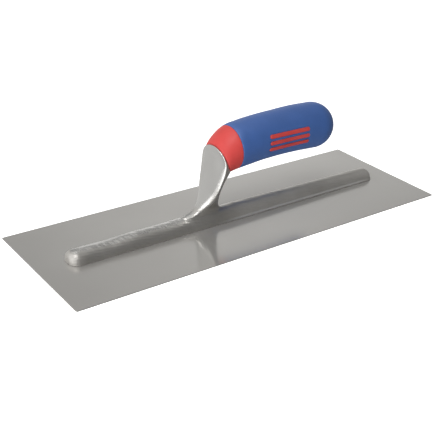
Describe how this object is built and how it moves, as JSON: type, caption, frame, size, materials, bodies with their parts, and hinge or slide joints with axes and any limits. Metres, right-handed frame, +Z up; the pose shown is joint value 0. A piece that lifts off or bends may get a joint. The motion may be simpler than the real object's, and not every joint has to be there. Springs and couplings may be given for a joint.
{
  "type": "finishing trowel",
  "caption": "Hand trowel for finishing plaster or concrete: a long flat steel blade riveted to a cast mounting, with a two-colour moulded handle above it.",
  "frame": {"origin": "centre of the blade's underside, the face that lies on the work", "axes": "+X along the blade towards the tail of the handle, +Z up from the blade to the handle; the part is symmetric about y = 0"},
  "size_m": [0.3302, 0.1142, 0.0798],
  "materials": {
    "blade": "ground and lightly polished hardened steel, fine grinding marks, blurred mirror reflections",
    "casting": "as-cast aluminium with a slightly uneven skin, tumbled bright along the edges and ridge",
    "rivets": "steel heads ground flush with the blade",
    "core": "moulded red plastic, satin",
    "grip": "moulded blue soft-touch grip rubber, fine matt texture",
    "fixings": "bright zinc plate",
    "plug": "blue moulded plug, matt"
  },
  "bodies": {
    "root": {"blade": "blade", "mounting": "casting", "rivet_1": "rivets", "rivet_2": "rivets", "rivet_3": "rivets", "rivet_4": "rivets", "rivet_5": "rivets", "rivet_6": "rivets", "rivet_7": "rivets", "rivet_8": "rivets", "rivet_9": "rivets", "rivet_10": "rivets", "rivet_11": "rivets", "handle_core": "core", "grip_sleeve": "grip", "handle_bolt": "fixings", "flat_washer": "fixings", "spring_washer": "fixings", "end_plug": "plug"}
  },
  "joints": []
}
